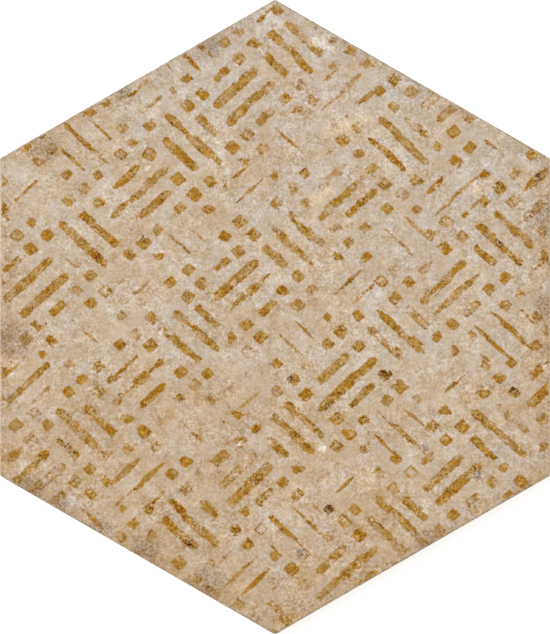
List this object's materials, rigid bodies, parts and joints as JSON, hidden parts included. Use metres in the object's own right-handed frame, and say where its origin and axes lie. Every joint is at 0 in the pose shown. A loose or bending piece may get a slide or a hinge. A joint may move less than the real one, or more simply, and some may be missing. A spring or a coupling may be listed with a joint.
{
  "type": "hexagon floor tile",
  "caption": "Regular hexagonal porcelain floor tile with a worn basket-weave print of bars and squares on its matt face, and a keyed back.",
  "frame": {"origin": "under the middle of the tile, on the plane of the ribs on its back", "axes": "+Z out of the printed face, +Y towards one corner of the hexagon, +X square to one side"},
  "size_m": [0.2164, 0.2496, 0.009],
  "materials": {
    "glazed_porcelain": "matte"
  },
  "bodies": {
    "root": {"hexagon_tile": "glazed_porcelain"}
  },
  "joints": []
}
